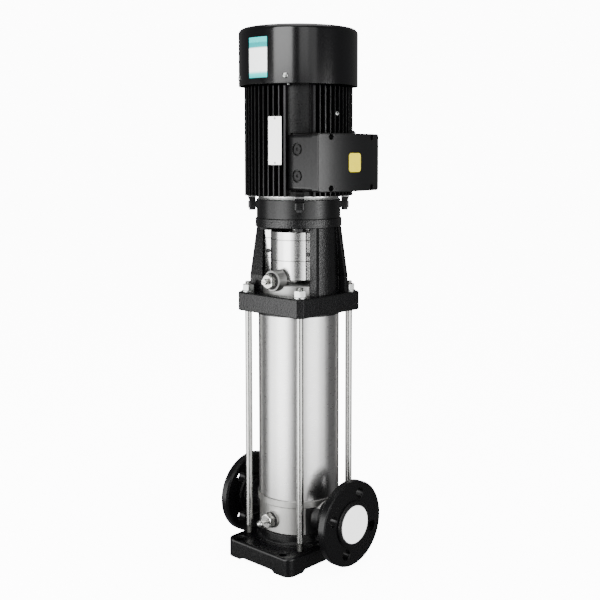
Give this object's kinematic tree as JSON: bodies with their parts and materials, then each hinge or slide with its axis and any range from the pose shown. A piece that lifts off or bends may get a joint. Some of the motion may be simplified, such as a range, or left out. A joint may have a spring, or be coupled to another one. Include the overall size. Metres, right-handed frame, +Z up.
{
  "type": "vertical multistage pump",
  "caption": "Upright multistage water pump: steel sleeve between a black base with two side flanges and a finned motor with a terminal box and fan cover on top.",
  "frame": {"origin": "centre of the base plate's underside, on the floor, on the shaft's axis", "axes": "+Z up along the shaft, +X out of the discharge port (the terminal box is on this side), -X out of the suction port, -Y towards the drain and vent plugs"},
  "size_m": [0.255, 0.202, 0.879],
  "materials": {
    "black_cast_iron": "black enamel over a sand-cast surface",
    "satin_stainless": "bead-blasted satin",
    "polished_stainless": "drawn and polished along the sleeve",
    "bright_stainless_sheet": "bright rolled sheet",
    "turned_stainless": "turned",
    "plated_steel": "bright zinc plate",
    "cast_stainless": "fine cast, satin",
    "black_painted_aluminium": "black paint over die-cast aluminium",
    "black_painted_sheet": "satin black paint on pressed steel",
    "black_powder_coat": "fine black powder coat",
    "black_oxide_steel": "black oxide",
    "machined_steel": "turned and ground",
    "silicon_steel": "stacked laminations",
    "enamelled_copper": "varnished windings",
    "black_rubber": "moulded rubber",
    "seal_carbon": "ground carbon face",
    "white_plastic": "moulded polyethylene",
    "black_plastic": "moulded nylon"
  },
  "bodies": {
    "pump_body": {"base_plate": "black_cast_iron", "suction_neck": "black_cast_iron", "discharge_neck": "black_cast_iron", "suction_collar": "black_cast_iron", "discharge_collar": "black_cast_iron", "motor_stool": "black_cast_iron", "port_chamber": "satin_stainless", "outer_sleeve": "polished_stainless", "guard_front": "bright_stainless_sheet", "guard_rear": "bright_stainless_sheet", "clamp_straps": "bright_stainless_sheet", "stage_chambers": "bright_stainless_sheet", "tie_rods": "turned_stainless", "drain_plug": "turned_stainless", "vent_plug": "turned_stainless", "seal_gland": "turned_stainless", "tie_rod_nuts": "plated_steel", "tie_rod_washers": "plated_steel", "guard_screws": "plated_steel", "cover_screws": "plated_steel", "lid_screws": "plated_steel", "stool_bolts": "plated_steel", "pump_head": "cast_stainless", "motor_frame": "black_painted_aluminium", "drive_end_shield": "black_painted_aluminium", "fan_end_shield": "black_painted_aluminium", "fan_cover": "black_painted_sheet", "terminal_box": "black_powder_coat", "terminal_lid": "black_powder_coat", "shield_bolts": "black_oxide_steel", "bearing_outer_rings": "machined_steel", "stator_core": "silicon_steel", "stator_windings": "enamelled_copper", "drain_washer": "black_rubber", "vent_washer": "black_rubber", "lower_gasket": "black_rubber", "upper_gasket": "black_rubber", "terminal_gasket": "black_rubber", "seal_seat": "seal_carbon", "cable_plugs": "black_plastic", "terminal_block": "black_plastic"},
    "shaft_line": {"pump_shaft": "turned_stainless", "motor_shaft": "machined_steel", "coupling_half_front": "machined_steel", "coupling_half_rear": "machined_steel", "coupling_bolts": "black_oxide_steel", "seal_rotor": "seal_carbon", "impellers": "bright_stainless_sheet", "rotor_core": "silicon_steel", "bearing_inner_rings": "machined_steel", "cooling_fan": "black_plastic"},
    "suction_flange": {"suction_flange": "black_cast_iron"},
    "discharge_flange": {"discharge_flange": "black_cast_iron"},
    "suction_cap": {"suction_cap": "white_plastic"},
    "discharge_cap": {"discharge_cap": "white_plastic"},
    "vent_screw": {"vent_screw": "turned_stainless"},
    "drain_screw": {"drain_screw": "turned_stainless"}
  },
  "joints": [
    {"name": "shaft_spin", "type": "hinge", "parent": "pump_body", "child": "shaft_line", "pos_m": [0, 0, 0.5], "axis": [0, 0, 1], "continuous": true},
    {"name": "suction_flange_turn", "type": "hinge", "parent": "pump_body", "child": "suction_flange", "pos_m": [-0.113, 0, 0.075], "axis": [-1, 0, 0], "continuous": true},
    {"name": "discharge_flange_turn", "type": "hinge", "parent": "pump_body", "child": "discharge_flange", "pos_m": [0.113, 0, 0.075], "axis": [1, 0, 0], "continuous": true},
    {"name": "suction_cap_pull", "type": "slide", "parent": "pump_body", "child": "suction_cap", "axis": [-1, 0, 0], "range_m": [0, 0.06]},
    {"name": "discharge_cap_pull", "type": "slide", "parent": "pump_body", "child": "discharge_cap", "axis": [1, 0, 0], "range_m": [0, 0.06]},
    {"name": "vent_screw_turn", "type": "hinge", "parent": "pump_body", "child": "vent_screw", "pos_m": [0.006, -0.08, 0.47], "axis": [0, -1, 0], "range_deg": [0, 720]},
    {"name": "drain_screw_turn", "type": "hinge", "parent": "pump_body", "child": "drain_screw", "pos_m": [0.003, -0.08, 0.071], "axis": [0, -1, 0], "range_deg": [0, 720]}
  ]
}
